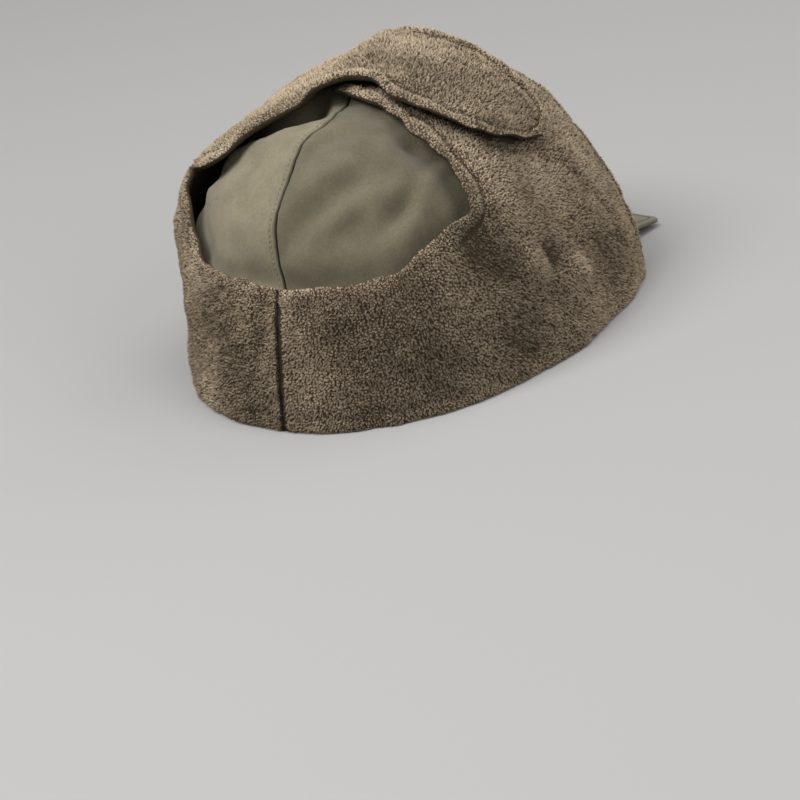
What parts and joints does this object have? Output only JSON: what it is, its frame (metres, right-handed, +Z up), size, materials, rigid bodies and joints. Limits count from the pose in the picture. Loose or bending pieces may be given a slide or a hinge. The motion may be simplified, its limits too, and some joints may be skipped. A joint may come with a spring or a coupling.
{
  "type": "winter field cap",
  "caption": "Winter cap with a cotton crown, a short stiff peak and thick pile ear flaps turned up and lapped over the top, hollow for the head.",
  "frame": {"origin": "on the rim's plane, at the middle of the cap's width and length", "axes": "+Z up through the crown, the peak points along -Y, the wearer's left is +X"},
  "size_m": [0.1798, 0.241, 0.124],
  "materials": {
    "crown_cotton": "olive cotton twill, matt, softly creased",
    "brown_pile": "short dense brown-grey pile with lighter tips, rolled topstitched edges",
    "peak_cotton": "olive cotton over a stiff board, topstitched"
  },
  "bodies": {
    "root": {"crown_left": "crown_cotton", "crown_right": "crown_cotton", "ear_flap_left": "brown_pile", "ear_flap_right": "brown_pile", "peak": "peak_cotton"}
  },
  "joints": []
}
